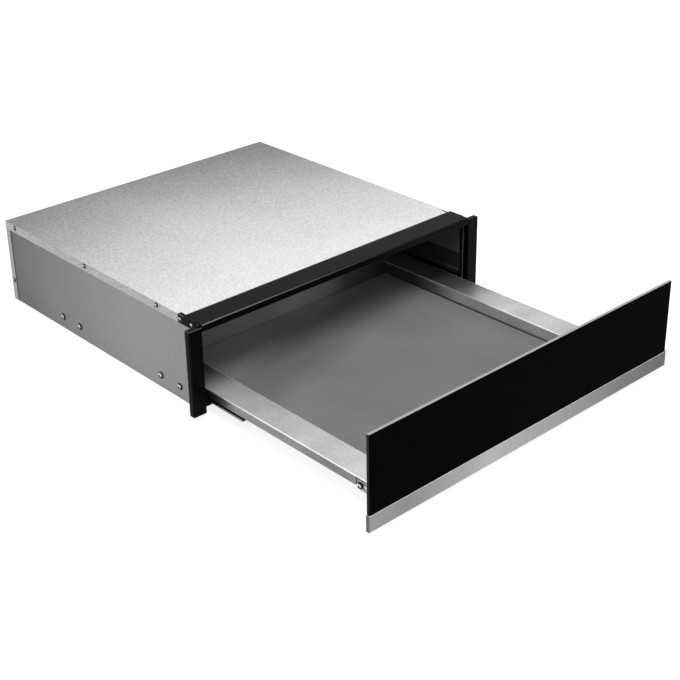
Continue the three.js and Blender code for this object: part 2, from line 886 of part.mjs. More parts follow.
function bottomTrim() {
  const w = frontWidth / 2;
  const face = [
    [-frontDepth, stripTop],
    [-frontDepth, frontBottom],
    [0, frontBottom],
  ];
  const bent = rounded([...face, [0, frontBottom + stripReturn]], stripRadius);
  const channel = folded(bent, stripSheet, "x", -w, w);
  const end = [[-frontDepth, stripTop], [-frontDepth, frontBottom], [glassBack, frontBottom]];
  const cap = prism([...rounded(end, stripRadius), [glassBack, stripTop]], "x", w - stripSheet, w);
  const nose = [[-w, glassBack], [-w, -frontDepth], [w, -frontDepth], [w, glassBack]];
  const rear = glassHalf - backingInset;
  const plan = [
    [-rear, 0], [-rear, glassBack], ...rounded(nose, stripRadius), [rear, glassBack], [rear, 0],
  ];
  const envelope = prism(plan, "z", frontBottom, stripTop);
  return joined(channel, cap, cap.mirror([1, 0, 0])).intersect(envelope);
}

function glassPanel() {
  return block(-glassHalf, glassHalf, glassFront, glassBack, frontBottom + glassFoot, frontTop);
}

function backingPlate() {
  const w = glassHalf - backingInset;
  const low = frontBottom + stripReturn + backingSeat;
  const high = frontTop - backingInset;
  const tray = block(-w, w, glassBack, 0, low, high);
  const pocket = block(
    -w + backingLip, w - backingLip, backingBack, 1, low + backingLip, high - backingLip,
  );
  return cutBy(tray, pocket);
}

place(drawerGroup, "bottom_trim", bottomTrim(), brushedSteel);
place(drawerGroup, "glass_front", glassPanel(), blackGlass);
place(drawerGroup, "backing_plate", backingPlate(), blackPaint);

// ---------------------------------------------------------------- tray
const rearWallY = trayLength - sheet;

function tray() {
  const low = panFloor - sheet;
  const path = [
    [-rimOuter, rimHeight - flangeDrop],
    [-rimOuter, rimHeight],
    [-rimInner, rimHeight],
    [-rimInner, panFloor],
    [rimInner, panFloor],
    [rimInner, rimHeight],
    [rimOuter, rimHeight],
    [rimOuter, rimHeight - flangeDrop],
  ].reverse();
  const pan = folded(rounded(path, trayBend), sheet, "y", 0, rearWallY);
  const wallHalf = frontLegInner - 0.3;
  const frontWall = block(-wallHalf, wallHalf, backingBack, 0.5, low, trayFrontWallTop);
  const cutFlanges = sides.map(([, side]) =>
    sideBlock(side, rimOuter - 2, rimOuter + 1, -1, flangeStart, 0, rimHeight - sheet),
  );
  return joined(cutBy(pan, ...cutFlanges), frontWall);
}

function rearWall() {
  const w = rimOuter - 1.5;
  const low = panFloor - sheet;
  const lower = block(-rimInner, rimInner, rearWallY, trayLength, low, rimHeight);
  const upper = block(-w, w, rearWallY, trayLength, rimHeight - sheet, rearWallTop);
  const returns = sides.map(([, side]) =>
    sideBlock(side, w - sheet, w, rearWallY - rearWallReturn, rearWallY, rimHeight, rearWallTop),
  );
  return joined(lower, upper, ...returns);
}

function mat() {
  const w = rimInner - matClearance;
  return block(-w, w, 1.5, rearWallY - matClearance, panFloor, panFloor + matThickness);
}

place(drawerGroup, "drawer_tray", tray(), brushedSteel);
place(drawerGroup, "tray_rear_wall", rearWall(), brushedSteel);
place(drawerGroup, "anti_slip_mat", mat(), matRubber);

// Brackets that tie the tray's rims to the front, each with its screw.
function frontBracket(side) {
  const top = rimHeight - sheet - 0.3;
  const footBack = backingBack + frontFootSheet;
  const legOuter = frontLegInner + frontLegSheet;
  const leg = sideBlock(side, frontLegInner, legOuter, backingBack, frontLegLength, frontLegBottom, top);
  const foot = sideBlock(
    side, frontLegInner, frontFootOuter, backingBack, footBack, frontLegBottom, frontFootTop,
  );
  const room = sideBlock(side, frontLegInner - 1, rimOuter + 0.3, -0.2, 1, top, rimHeight + 0.3);
  const slots = frontSlotDrops.map((drop) =>
    sideBlock(
      side, frontLegInner - 1, legOuter + 1, flangeStart - 3 - frontSlotLength, flangeStart - 3,
      rimHeight - drop - frontSlotHeight / 2, rimHeight - drop + frontSlotHeight / 2,
    ),
  );
  const hole = sideRod(
    side, [bracketScrewY, bracketScrewZ], shankRadius + shankClearance,
    frontLegInner - 1, legOuter + 1,
  );
  const spareHole = sideRod(
    side, [bracketHoleY, bracketScrewZ], bracketHoleRadius, frontLegInner - 1, legOuter + 1,
  );
  const legRise = rimHeight - flangeDrop + 0.5;
  const taper = prism(
    [
      [bracketScrewY, 0], [bracketScrewY, frontLegBottom], [flangeStart, legRise],
      [frontLegLength + 1, legRise], [frontLegLength + 1, 0],
    ],
    "x", -frontLegInner - 9, frontLegInner + 9,
  );
  return cutBy(joined(leg, foot), room, taper, hole, spareHole, ...slots);
}

const bracketScrew = screw(panHead, panHeight + 0.6, shankRadius, 4.5);
for (const [name, side] of sides) {
  place(drawerGroup, `${name}_front_bracket`, frontBracket(side), zincSteel);
  const at = [side * (frontLegInner + frontLegSheet), bracketScrewY, bracketScrewZ];
  place(drawerGroup, `${name}_bracket_screw`, bracketScrew, zincSteel, at, sideways(side));
}

// ---------------------------------------------------------------- controls
const controlMiddleY = controlDepth / 2 + 1.5;
const controlRight = frontLegInner - controlSideRoom;
const controlLeft = controlRight - controlWidth;
const controlBottom = trayFrontWallTop + controlSeat;
const controlTop = frontTop - controlDrop;
const knobX = controlRight - knobInset;
const switchX = controlLeft + switchInset;
const lensX = controlLeft + lensInset;
const stemRadius = shaftRadius + 0.5;

function controlHousing() {
  const wall = housingWall;
  const outline = [
    [backingBack, controlBottom],
    [controlDepth - housingChamfer, controlBottom],
    [controlDepth, controlBottom + housingChamfer],
    [controlDepth, controlTop - wall],
    [controlDepth - wall, controlTop],
    [backingBack, controlTop],
  ];
  const inner = [
    [backingBack + wall, controlBottom - 1],
    [controlDepth - housingChamfer - wall, controlBottom - 1],
    [controlDepth - wall, controlBottom + housingChamfer],
    [controlDepth - wall, controlTop - wall],
    [backingBack + wall, controlTop - wall],
  ];
  const shell = prism(outline, "x", controlLeft, controlRight);
  const inside = prism(inner, "x", controlLeft + wall, controlRight - wall);
  const through = [controlTop - wall - 1, controlTop + 1];
  const spindle = rod("z", [knobX, controlMiddleY], stemRadius + runningGap, ...through);
  const window = block(
    switchX - switchLength / 2, switchX + switchLength / 2,
    controlMiddleY - switchWidth / 2, controlMiddleY + switchWidth / 2,
    ...through,
  );
  const lensHole = rod("z", [lensX, controlMiddleY], lensRadius + runningGap, ...through);
  return cutBy(shell, inside, spindle, window, lensHole);
}

// The knob turns on Z through the local origin, which is on the housing's top.
function knob() {
  const profile = [
    [0, -knobStem],
    [stemRadius, -knobStem],
    [stemRadius, runningGap],
    [knobRadius, runningGap],
    [knobRadius, knobHeight - 2],
    [knobRadius - 1.2, knobHeight],
    [0, knobHeight],
  ].map(([r, h]) => new THREE.Vector2(r, h));
  const turned = new THREE.LatheGeometry(profile, 36);
  turned.rotateX(Math.PI / 2);
  const pointer = block(-0.7, 0.7, knobRadius - 7, knobRadius + 1, knobHeight - 0.8, knobHeight + 1);
  const ribs = [];
  for (let i = 0; i < knobNotches; i += 1) {
    const angle = ((i + 0.5) / knobNotches) * Math.PI * 2;
    const reach = knobRadius + 0.45;
    const centre = [reach * Math.cos(angle), reach * Math.sin(angle)];
    ribs.push(rod("z", centre, 0.9, 2, knobHeight - 2, 8));
  }
  return cutBy(solidOf(turned), pointer, ...ribs);
}

// The rocker pivots on Y through the local origin and is drawn level here.
function rocker() {
  const reach = switchLength / 2 - 2 * runningGap;
  const halfWidth = switchWidth / 2 - runningGap;
  const outline = [
    [-reach, -3],
    [reach, -3],
    [reach, switchRise],
    [0, switchRise - switchDip],
    [-reach, switchRise],
  ];
  return prism(outline, "y", -halfWidth, halfWidth);
}

place(drawerGroup, "control_housing", controlHousing(), darkPlastic);
place(drawerGroup, "temperature_knob", knob(), brushedSteel, [knobX, controlMiddleY, controlTop]);
place(
  drawerGroup, "power_switch", rocker(), darkPlastic,
  [switchX, controlMiddleY, controlTop], [0, switchTilt, 0],
);
place(
  drawerGroup, "indicator_lens", rod("z", [0, 0], lensRadius, -housingWall, lensRise, 20), amberLens,
  [lensX, controlMiddleY, controlTop],
);

export default appliance;
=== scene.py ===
# Built-in warming drawer pulled out to its stop: finishes, small parts, light and camera.
import math

import bmesh
import bpy
from mathutils import Matrix, Vector


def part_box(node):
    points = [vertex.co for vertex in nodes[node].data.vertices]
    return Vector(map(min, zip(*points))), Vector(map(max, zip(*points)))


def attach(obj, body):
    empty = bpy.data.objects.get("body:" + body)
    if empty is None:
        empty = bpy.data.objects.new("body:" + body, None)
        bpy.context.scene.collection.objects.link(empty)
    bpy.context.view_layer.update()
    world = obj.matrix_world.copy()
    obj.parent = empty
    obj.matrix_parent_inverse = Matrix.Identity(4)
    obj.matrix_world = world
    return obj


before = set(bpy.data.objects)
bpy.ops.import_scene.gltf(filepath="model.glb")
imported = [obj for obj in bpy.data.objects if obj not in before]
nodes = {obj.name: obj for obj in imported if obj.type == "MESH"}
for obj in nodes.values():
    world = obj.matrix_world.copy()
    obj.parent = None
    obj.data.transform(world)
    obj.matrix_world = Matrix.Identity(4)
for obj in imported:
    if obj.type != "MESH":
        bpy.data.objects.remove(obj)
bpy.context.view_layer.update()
mm = 0.001
print("frame loaded with", len(nodes), "nodes")


def linear(hexColour):
    parts = [int(hexColour[i:i + 2], 16) / 255 for i in (1, 3, 5)]
    return [c / 12.92 if c < 0.0405 else ((c + 0.055) / 1.055) ** 2.4 for c in parts] + [1]


def addNode(tree, kind, inputs=None, **settings):
    node = tree.nodes.new(kind)
    for name, value in settings.items():
        setattr(node, name, value)
    for socket, value in (inputs or {}).items():
        if isinstance(value, bpy.types.NodeSocket):
            tree.links.new(value, node.inputs[socket])
        else:
            node.inputs[socket].default_value = value
    return node


def startMaterial(name, **shaderValues):
    material = bpy.data.materials.new(name)
    material.use_nodes = True
    tree = material.node_tree
    tree.nodes.clear()
    shader = addNode(tree, "ShaderNodeBsdfPrincipled")
    for socket, value in shaderValues.items():
        shader.inputs[socket.replace("_", " ")].default_value = value
    addNode(tree, "ShaderNodeOutputMaterial", {"Surface": shader.outputs[0]})
    place = addNode(tree, "ShaderNodeTexCoord").outputs["Object"]
    return material, tree, shader, place


def rampColour(tree, value, stops):
    # stops are (position, hex colour), at least two of them
    ramp = addNode(tree, "ShaderNodeValToRGB", {"Fac": value})
    elements = ramp.color_ramp.elements
    while len(elements) < len(stops):
        elements.new(0.5)
    for element, (position, hexColour) in zip(elements, stops):
        element.position = position
        element.color = linear(hexColour)
    return ramp.outputs[0]


def noise(tree, place, scale, detail, roughness=0.5):
    inputs = {"Vector": place, "Scale": scale, "Detail": detail, "Roughness": roughness}
    return addNode(tree, "ShaderNodeTexNoise", inputs).outputs["Fac"]


def remap(tree, value, low, high, newLow=0.0, newHigh=1.0):
    inputs = {"Value": value, "From Min": low, "From Max": high, "To Min": newLow, "To Max": newHigh}
    return addNode(tree, "ShaderNodeMapRange", inputs).outputs[0]


def spread(tree, value, low, high):
    # turns a 0 to 1 pattern into the range low to high
    return remap(tree, value, 0.0, 1.0, low, high)


def between(tree, value, low, high):
    # 0 at low, 1 at high, straight in between; low may be the larger
    return remap(tree, value, low, high)


def maths(tree, operation, first, second=0.0, clamp=False):
    inputs = {0: first, 1: second}
    return addNode(tree, "ShaderNodeMath", inputs, operation=operation, use_clamp=clamp).outputs[0]


def mixColour(tree, factor, first, second):
    return addNode(tree, "ShaderNodeMix", {0: factor, 6: first, 7: second}, data_type="RGBA").outputs[2]


def axisParts(tree, vector):
    return addNode(tree, "ShaderNodeSeparateXYZ", {"Vector": vector}).outputs


def normalParts(tree):
    return axisParts(tree, addNode(tree, "ShaderNodeNewGeometry").outputs["Normal"])


def shadedColour(tree, shader, colour, shade):
    # shade multiplies the colour: 1 leaves it as it is
    scaled = addNode(tree, "ShaderNodeVectorMath", {0: colour, "Scale": shade}, operation="SCALE")
    tree.links.new(scaled.outputs[0], shader.inputs["Base Color"])


def varyRoughness(tree, shader, pattern, low, high):
    tree.links.new(spread(tree, pattern, low, high), shader.inputs["Roughness"])


def bump(tree, shader, height, depth, strength=1.0):
    node = addNode(tree, "ShaderNodeBump", {"Height": height, "Distance": depth, "Strength": strength})
    tree.links.new(node.outputs[0], shader.inputs["Normal"])


# Folds and broken edges that face up get a painted highlight.
def foldHighlightMask(tree, place, above):
    # only folds higher than above, in mm
    parts = normalParts(tree)
    sizes = [maths(tree, "ABSOLUTE", parts[axis]) for axis in ("X", "Y", "Z")]
    largest = maths(tree, "MAXIMUM", maths(tree, "MAXIMUM", sizes[0], sizes[1]), sizes[2])
    turned = maths(tree, "MULTIPLY", between(tree, largest, 0.97, 0.82), between(tree, parts["Z"], 0.25, 0.5))
    height = axisParts(tree, place)["Z"]
    return maths(tree, "MULTIPLY", turned, between(tree, height, (above - 1) * mm, above * mm))


def toneRamp(tree, place, paintedLightTones):
    # stops are (row coordinate in mm, colour) along one axis; slant lets the distance from centre count too
    first, last = paintedLightTones["stops"][0][0] * mm, paintedLightTones["stops"][-1][0] * mm
    axes = axisParts(tree, place)
    along = axes[paintedLightTones["axis"]]
    if "slant" in paintedLightTones:
        aside = maths(tree, "ADD", axes["X"], -paintedLightTones.get("centre", 0) * mm)
        if "centre" in paintedLightTones:
            aside = maths(tree, "ABSOLUTE", aside)
        along = maths(tree, "ADD", along, maths(tree, "MULTIPLY", aside, paintedLightTones["slant"]))
    if "blot" in paintedLightTones:
        along = maths(tree, "ADD", along, paintedLightTones["blot"])
    stops = [((row * mm - first) / (last - first), tone) for row, tone in paintedLightTones["stops"]]
    return rampColour(tree, between(tree, along, first, last), stops)


# Hot-dip galvanised steel sheet: close grey spangle under painted light and shade along the sheet.
def galvanisedSheet(name, paintedLightTones, grain, speck, metal, roughness, flankPaintedShade=None, insidePaintedShade=None, streak=0.0):
    # the flank colour is a painted shade for faces that do not look up, the inside colour a painted shade for
    # faces towards the drawer
    material, tree, shader, place = startMaterial(name, Metallic=metal)
    spangle = addNode(tree, "ShaderNodeTexVoronoi", {"Vector": place, "Scale": 1 / (grain * mm)})
    cloud = noise(tree, place, 9.0, 3.0)
    tone = toneRamp(tree, place, {**paintedLightTones, "blot": spread(tree, cloud, -30 * mm, 30 * mm)})
    parts = normalParts(tree)
    if flankPaintedShade:
        tone = mixColour(tree, between(tree, parts["Z"], 0.4, 0.8), linear(flankPaintedShade), tone)
    if insidePaintedShade:
        outward = maths(tree, "MULTIPLY", parts["X"], axisParts(tree, place)["X"])
        tone = mixColour(tree, between(tree, outward, -0.05, -0.15), tone, linear(insidePaintedShade))
    facet = addNode(tree, "ShaderNodeSeparateColor", {0: spangle.outputs["Color"]}).outputs[0]
    grit = maths(tree, "ADD", facet, noise(tree, place, 380.0, 3.0, 0.75))
    # the grain shows more where the painted shade makes the tone darker
    lightness = addNode(tree, "ShaderNodeRGBToBW", {0: tone}).outputs[0]
    depth = remap(tree, lightness, 0.3, 0.8, speck * 1.5, speck * 0.7)
    pits = remap(tree, grit, 0.45, 1.2, -1, 0.4)
    shade = maths(tree, "ADD", maths(tree, "MULTIPLY", pits, depth), 1.0)
    if streak:
        tall = addNode(tree, "ShaderNodeMapping", {"Vector": place, "Scale": (300, 300, 6)})
        drawn = noise(tree, tall.outputs[0], 1.0, 2.0)
        shade = maths(tree, "MULTIPLY", shade, spread(tree, drawn, 1 - streak, 1 + streak))
    shadedColour(tree, shader, tone, shade)
    varyRoughness(tree, shader, facet, roughness - 0.06, roughness + 0.06)
    bump(tree, shader, grit, 0.02 * mm, 0.5)
    return material


# Stainless steel with a ground finish: fine straight lines that draw reflections out across them.
def brushedSteel(name, colour, along, roughness, metal=1.0, paintedLightTones=None, foldHighlightTones=None, flankPaintedShade=None,
                 cheekPaintedShade=None, gutterPaintedShade=None, rimHighlights=None, grain=0.1):
    # the tones paint light and shade along an axis; the fold tones are a painted highlight on folds above a
    # height;
    # the flank tones are painted shade on the outer skirts, the cheek tones painted shade on the inner walls;
    # the gutter colour is painted shade below a height; the rims give the |X| of edges with a painted highlight
    material, tree, shader, place = startMaterial(name, Metallic=metal)
    axes = axisParts(tree, place)
    across, height = maths(tree, "ABSOLUTE", axes["X"]), axes["Z"]
    # real grinding lines are 0.1 mm apart; these are 0.5 mm so that they show
    stretch = {"X": (30, 2000, 2000), "Y": (2000, 30, 2000), "Z": (2000, 2000, 30)}[along]
    lined = addNode(tree, "ShaderNodeMapping", {"Vector": place, "Scale": stretch})
    lines = noise(tree, lined.outputs[0], 1.0, 4.0)
    fleck = noise(tree, place, 500.0, 2.0)
    cloud = noise(tree, place, 14.0, 2.0)
    pattern = maths(tree, "ADD", maths(tree, "ADD", lines, fleck), cloud)
    base = toneRamp(tree, place, paintedLightTones or {"axis": "X", "stops": [(-300, colour), (300, colour)]})
    if flankPaintedShade:
        upright = between(tree, maths(tree, "ABSOLUTE", normalParts(tree)["X"]), 0.6, 0.9)
        if cheekPaintedShade:
            base = mixColour(tree, upright, base, toneRamp(tree, place, cheekPaintedShade))
        beyond = between(tree, across, (flankPaintedShade["from"] - 1) * mm, (flankPaintedShade["from"] + 1) * mm)
        skirt = maths(tree, "MULTIPLY", beyond, upright)
        base = mixColour(tree, skirt, base, toneRamp(tree, place, flankPaintedShade))
    if gutterPaintedShade:
        low = between(tree, height, gutterPaintedShade["below"] * mm, (gutterPaintedShade["below"] - 2) * mm)
        base = mixColour(tree, low, base, linear(gutterPaintedShade["colour"]))
    if rimHighlights:
        inner, outer, width = (rimHighlights[key] * mm for key in ("inner", "outer", "width"))
        rimHighlight = maths(tree, "MAXIMUM", between(tree, across, inner + width * 1.3, inner + width),
                       between(tree, across, outer - width * 1.3, outer - width))
        upward = between(tree, normalParts(tree)["Z"], 0.2, 0.5)
        high = between(tree, height, rimHighlights["above"] * mm, (rimHighlights["above"] + 4) * mm)
        rimHighlight = maths(tree, "MULTIPLY", maths(tree, "MULTIPLY", rimHighlight, upward), high)
        base = mixColour(tree, rimHighlight, base, linear(rimHighlights["colour"]))
    if foldHighlightTones:
        foldHighlight = foldHighlightMask(tree, place, foldHighlightTones["above"])
        base = mixColour(tree, foldHighlight, base, toneRamp(tree, place, foldHighlightTones))
        tree.links.new(spread(tree, foldHighlight, metal, 1.0), shader.inputs["Metallic"])
    shadedColour(tree, shader, base, remap(tree, pattern, 1.0, 2.0, 1 - grain, 1 + grain))
    varyRoughness(tree, shader, lines, roughness - 0.08, roughness + 0.08)
    bump(tree, shader, lines, 0.05 * mm, 0.4)
    return material


# Zinc-plated steel: slightly cloudy and bluish, with a soft shine.
def zincPlate(name, colour, roughness):
    material, tree, shader, place = startMaterial(name, Metallic=1.0)
    cloud = noise(tree, place, 160.0, 4.0)
    shadedColour(tree, shader, linear(colour)[:3], spread(tree, cloud, 1.1, 0.72))
    varyRoughness(tree, shader, cloud, roughness - 0.1, roughness + 0.1)
    bump(tree, shader, cloud, 0.02 * mm, 0.4)
    return material


# Dark screws with a painted highlight on their crowns; the dark of the heads stands in for their shade. They
# all point sideways.
def screwWithPaintedHighlight(name, dark, bright):
    material, tree, shader, place = startMaterial(name, Metallic=1.0)
    cloud = noise(tree, place, 400.0, 3.0)
    parts = normalParts(tree)
    crown = between(tree, maths(tree, "ABSOLUTE", parts["X"]), 0.66, 0.9)
    # painted shade on the lower half of a crown, painted highlight on the upper
    crown = maths(tree, "MULTIPLY", crown, between(tree, parts["Z"], -0.14, 0.12))
    wearAndHighlight = maths(tree, "MULTIPLY", crown, spread(tree, cloud, 0.7, 1.2), True)
    tree.links.new(mixColour(tree, wearAndHighlight, linear(dark), linear(bright)), shader.inputs["Base Color"])
    varyRoughness(tree, shader, cloud, 0.2, 0.36)
    bump(tree, shader, cloud, 0.02 * mm, 0.4)
    return material


# Satin powder coat or enamel on steel: an orange-peel skin that breaks the shine.
def coatedSteel(name, colour, wearAndHighlight, roughness, level, peel=1.2, foldHighlightTones=None):
    material, tree, shader, place = startMaterial(name, Specular_IOR_Level=level)
    skin = noise(tree, place, 1 / (peel * mm), 2.0)
    cloud = noise(tree, place, 11.0, 3.0)
    base = mixColour(tree, cloud, linear(colour), linear(wearAndHighlight))
    if foldHighlightTones:
        base = mixColour(tree, foldHighlightMask(tree, place, 0), base, toneRamp(tree, place, foldHighlightTones))
    tree.links.new(base, shader.inputs["Base Color"])
    varyRoughness(tree, shader, cloud, roughness - 0.05, roughness + 0.05)
    bump(tree, shader, skin, 0.03 * mm, 0.35)
    return material


# Injection-moulded polyamide: even colour with a fine spark-eroded grain.
def mouldedPlastic(name, colour, roughness, grain=0.6):
    material, tree, shader, place = startMaterial(name, IOR=1.53, Specular_IOR_Level=0.4)
    pits = addNode(tree, "ShaderNodeTexVoronoi", {"Vector": place, "Scale": 1 / (grain * mm)})
    cloud = noise(tree, place, 60.0, 2.0)
    shadedColour(tree, shader, linear(colour)[:3], spread(tree, cloud, 0.88, 1.12))
    varyRoughness(tree, shader, cloud, roughness - 0.05, roughness + 0.05)
    bump(tree, shader, pits.outputs["Distance"], 0.03 * mm, 0.4)
    return material


# Float glass printed black from behind: deep, even and polished, its sawn edges ground matt.
def printedGlass(name, litTopEdge, shadedSideEdge):
    material, tree, shader, place = startMaterial(name, IOR=1.52, Specular_IOR_Level=0.003)
    dust = noise(tree, place, 90.0, 5.0, 0.7)
    face = rampColour(tree, dust, [(0.3, "#040506"), (0.8, "#070809")])
    # the ground edges are paler than the face; the top edges are drawn lighter and the side edges darker as
    # painted light and shade
    parts = normalParts(tree)
    upward = between(tree, parts["Z"], 0.5, 0.8)
    sideways = between(tree, maths(tree, "ABSOLUTE", parts["X"]), 0.8, 0.95)
    ground = mixColour(tree, sideways, face, linear(shadedSideEdge))
    ground = mixColour(tree, upward, ground, linear(litTopEdge))
    tree.links.new(ground, shader.inputs["Base Color"])
    edges = maths(tree, "MAXIMUM", upward, sideways)
    polish = maths(tree, "ADD", spread(tree, dust, 0.02, 0.06), spread(tree, edges, 0.0, 0.4))
    tree.links.new(polish, shader.inputs["Roughness"])
    return material


# Moulded silicone rubber: matt and slightly velvety, with a fine even texture.
def siliconeRubber(name, colour, dark, paintedLightTones=None):
    # tones multiply the colour along an axis: painted light and shade, as where the frame shades a mat
    material, tree, shader, place = startMaterial(
        name, IOR=1.43, Specular_IOR_Level=0.25, Sheen_Weight=0.08, Sheen_Roughness=0.6,
    )
    # the moulded grain is 0.3 mm; it is drawn at 1.2 mm so that it shows
    grain = noise(tree, place, 830.0, 2.0)
    cloud = noise(tree, place, 7.0, 3.0)
    pattern = addNode(tree, "ShaderNodeMix", {0: 0.7, 2: cloud, 3: grain}, data_type="FLOAT").outputs[0]
    paintedLightTones = paintedLightTones or {"axis": "X", "stops": [(-300, "#ffffff"), (300, "#ffffff")]}
    toned = addNode(tree, "ShaderNodeVectorMath", {
        0: rampColour(tree, pattern, [(0.3, dark), (0.7, colour)]), 1: toneRamp(tree, place, paintedLightTones),
    }, operation="MULTIPLY")
    tree.links.new(toned.outputs[0], shader.inputs["Base Color"])
    varyRoughness(tree, shader, grain, 0.68, 0.85)
    bump(tree, shader, grain, 0.12 * mm, 0.8)
    return material


# Stainless heater tube: straw and blue heat tint in bands along its length.
def heatTintedTube(name):
    material, tree, shader, place = startMaterial(name, Metallic=1.0)
    band = noise(tree, place, 30.0, 2.0)
    tint = rampColour(tree, band, [(0.3, "#6d6a68"), (0.5, "#8a7356"), (0.7, "#54586a")])
    tree.links.new(tint, shader.inputs["Base Color"])
    varyRoughness(tree, shader, band, 0.35, 0.55)
    bump(tree, shader, band, 0.03 * mm, 0.3)
    return material


# Clear amber polycarbonate: glossy, with moulding flow just visible.
def amberLens(name):
    material, tree, shader, place = startMaterial(name, IOR=1.58, Transmission_Weight=0.4)
    flow = noise(tree, place, 300.0, 1.0)
    amber = rampColour(tree, flow, [(0.3, "#b85d10"), (0.7, "#e08a2c")])
    tree.links.new(amber, shader.inputs["Base Color"])
    varyRoughness(tree, shader, flow, 0.12, 0.22)
    return material


# The tones paint light and shade: the cover lighter to the front, the side panels a darker copy, darker to the
# rear. The cover's flank colour is painted shade for faces that do not look up; the inside colour is painted
# shade inside the casing.
sheetFinish = {
    "cover": {
        "paintedLightTones": {"axis": "Y", "slant": 0.28, "centre": -80, "stops": [
            (320, "#898989"), (255, "#989898"), (165, "#b1b1b1"), (84, "#c6c6c6"), (10, "#d4d4d4"),
            (-80, "#dfdfdf"), (-130, "#e6e6e6"), (-230, "#ebebeb")]},
        "grain": 1.5, "speck": 0.3, "flankPaintedShade": "#c4c4c4"},
    "side": {
        "paintedLightTones": {"axis": "Y", "stops": [
            (262, "#565656"), (220, "#646464"), (140, "#757575"), (30, "#848484"), (-90, "#909090"),
            (-262, "#8e8e8e")]},
        "grain": 1.7, "speck": 0.09, "streak": 0.06, "insidePaintedShade": "#191a1b"},
    "rear": {
        "paintedLightTones": {"axis": "Y", "stops": [(262, "#a2a2a2"), (-262, "#adadad")]},
        "grain": 1.7, "speck": 0.12},
}
coverSheet = galvanisedSheet("galvanisedCoverSheet", **sheetFinish["cover"], metal=0.28, roughness=0.62)
sideSheet = galvanisedSheet("galvanisedSideSheet", **sheetFinish["side"], metal=0.6, roughness=0.45)
rearSheet = galvanisedSheet("galvanisedRearSheet", **sheetFinish["rear"], metal=0.6, roughness=0.48)
# Painted highlight on the frame's folds, brighter to the left.
frameFoldHighlights = {"axis": "X", "stops": [
    (-286, "#8c8c8c"), (-120, "#666666"), (0, "#404040"), (120, "#1e1e1e"), (286, "#161616")]}
framePaint = coatedSteel("powderCoatedFrame", "#060708", "#090a0b", 0.24, 0.03, foldHighlightTones=frameFoldHighlights)
# Painted highlight on the liners' ledge fold; the liners' near-black enamel stands in for the shade inside the
# casing.
liningFoldHighlights = {"axis": "Y", "stops": [(-262, "#8a8a8a"), (252, "#8a8a8a")]}
liningShadeEnamel = coatedSteel("mattLiningPaintedShade", "#2b2c2e", "#303133", 0.6, 0.2, foldHighlightTones=liningFoldHighlights)
shieldEnamel = coatedSteel("mattShieldEnamel", "#515255", "#57585a", 0.6, 0.25)
backingPaint = coatedSteel("backingPlatePaint", "#1a1b1d", "#202124", 0.5, 0.3)
# Tray: painted shade near the casing and painted light to the front; painted highlights on upper folds and rim
# edges; painted shade on the outer skirts, the inner walls and the gutter.
trayPaintedShade = {"axis": "Y", "slant": 0.12, "stops": [
    (-110, "#6a6a6a"), (-155, "#5c5c5c"), (-190, "#2c2c2c"), (-245, "#5a5a5a"), (-272, "#808080"),
    (-305, "#bcbcbb"), (-350, "#c6c6c5"), (-400, "#bebebd"), (-460, "#c0c0bf"), (-545, "#cacac9"),
    (-612, "#d8d8d7")]}
trayFoldHighlights = {"axis": "X", "above": 30, "stops": [(-257, "#ffffff"), (257, "#ffffff")]}
trayFlankPaintedShade = {"axis": "Y", "from": 255, "stops": [
    (-250, "#1c1c1c"), (-294, "#303030"), (-318, "#888887"), (-430, "#8c8c8b"), (-500, "#7f7f7e"),
    (-612, "#8a8a8a")]}
trayCheekPaintedShade = {"axis": "Y", "stops": [
    (-120, "#484848"), (-190, "#484848"), (-240, "#707070"), (-285, "#c4c4c3"), (-310, "#cacac9"),
    (-400, "#c0c0bf"), (-612, "#b4b4b3")]}
trayGutterPaintedShade = {"below": 19.5, "colour": "#4c4c4c"}
trayRimHighlights = {"inner": 213.2, "outer": 256.8, "width": 1.4, "above": 19.5, "colour": "#fafafa"}
# Trim strip: painted shade on its ends and a painted highlight on its folds.
stripEndPaintedShade = {"axis": "Z", "from": 295, "stops": [(4, "#606060"), (29, "#505050")]}
stripFoldHighlights = {"axis": "X", "above": 0, "stops": [(-300, "#f8f8f8"), (300, "#f8f8f8")]}
# Painted shade on the tray's rear wall, darker to the right.
wallPaintedShade = {"axis": "X", "stops": [
    (-257, "#969695"), (-120, "#9c9c9b"), (20, "#b2b2b1"), (80, "#a0a09f"), (125, "#646464"),
    (200, "#3c3c3c"), (257, "#2a2a2a")]}
# Painted reflection along the trim strip: brightest left of the middle, darkest at the right end.
trimPaintedReflection = {"axis": "X", "stops": [
    (-297, "#8b8b8b"), (-235, "#828282"), (-172, "#959595"), (-83, "#a6a6a6"), (36, "#959595"),
    (139, "#7c7c7c"), (249, "#5e5e5e"), (297, "#525252")]}
trayBrushed = brushedSteel("brushedTraySteel", "#bfbfbe", "Y", 0.36, metal=0.25, paintedLightTones=trayPaintedShade,
                           foldHighlightTones=trayFoldHighlights, flankPaintedShade=trayFlankPaintedShade, cheekPaintedShade=trayCheekPaintedShade, gutterPaintedShade=trayGutterPaintedShade,
                           rimHighlights=trayRimHighlights, grain=0.36)
wallBrushed = brushedSteel("brushedTrayWallSteel", "#939392", "X", 0.4, metal=0.25, paintedLightTones=wallPaintedShade, grain=0.12)
trimBrushed = brushedSteel("brushedTrimSteel", "#c9c9c8", "X", 0.36, metal=0.7, paintedLightTones=trimPaintedReflection,
                           foldHighlightTones=stripFoldHighlights, flankPaintedShade=stripEndPaintedShade, grain=0.12)
knobBrushed = brushedSteel("turnedKnobSteel", "#c2c1be", "Z", 0.3)
motorSteel = brushedSteel("drawnMotorSteel", "#9da0a2", "Y", 0.4)
runnerZinc = zincPlate("rolledRunnerZinc", "#a9acaf", 0.34)
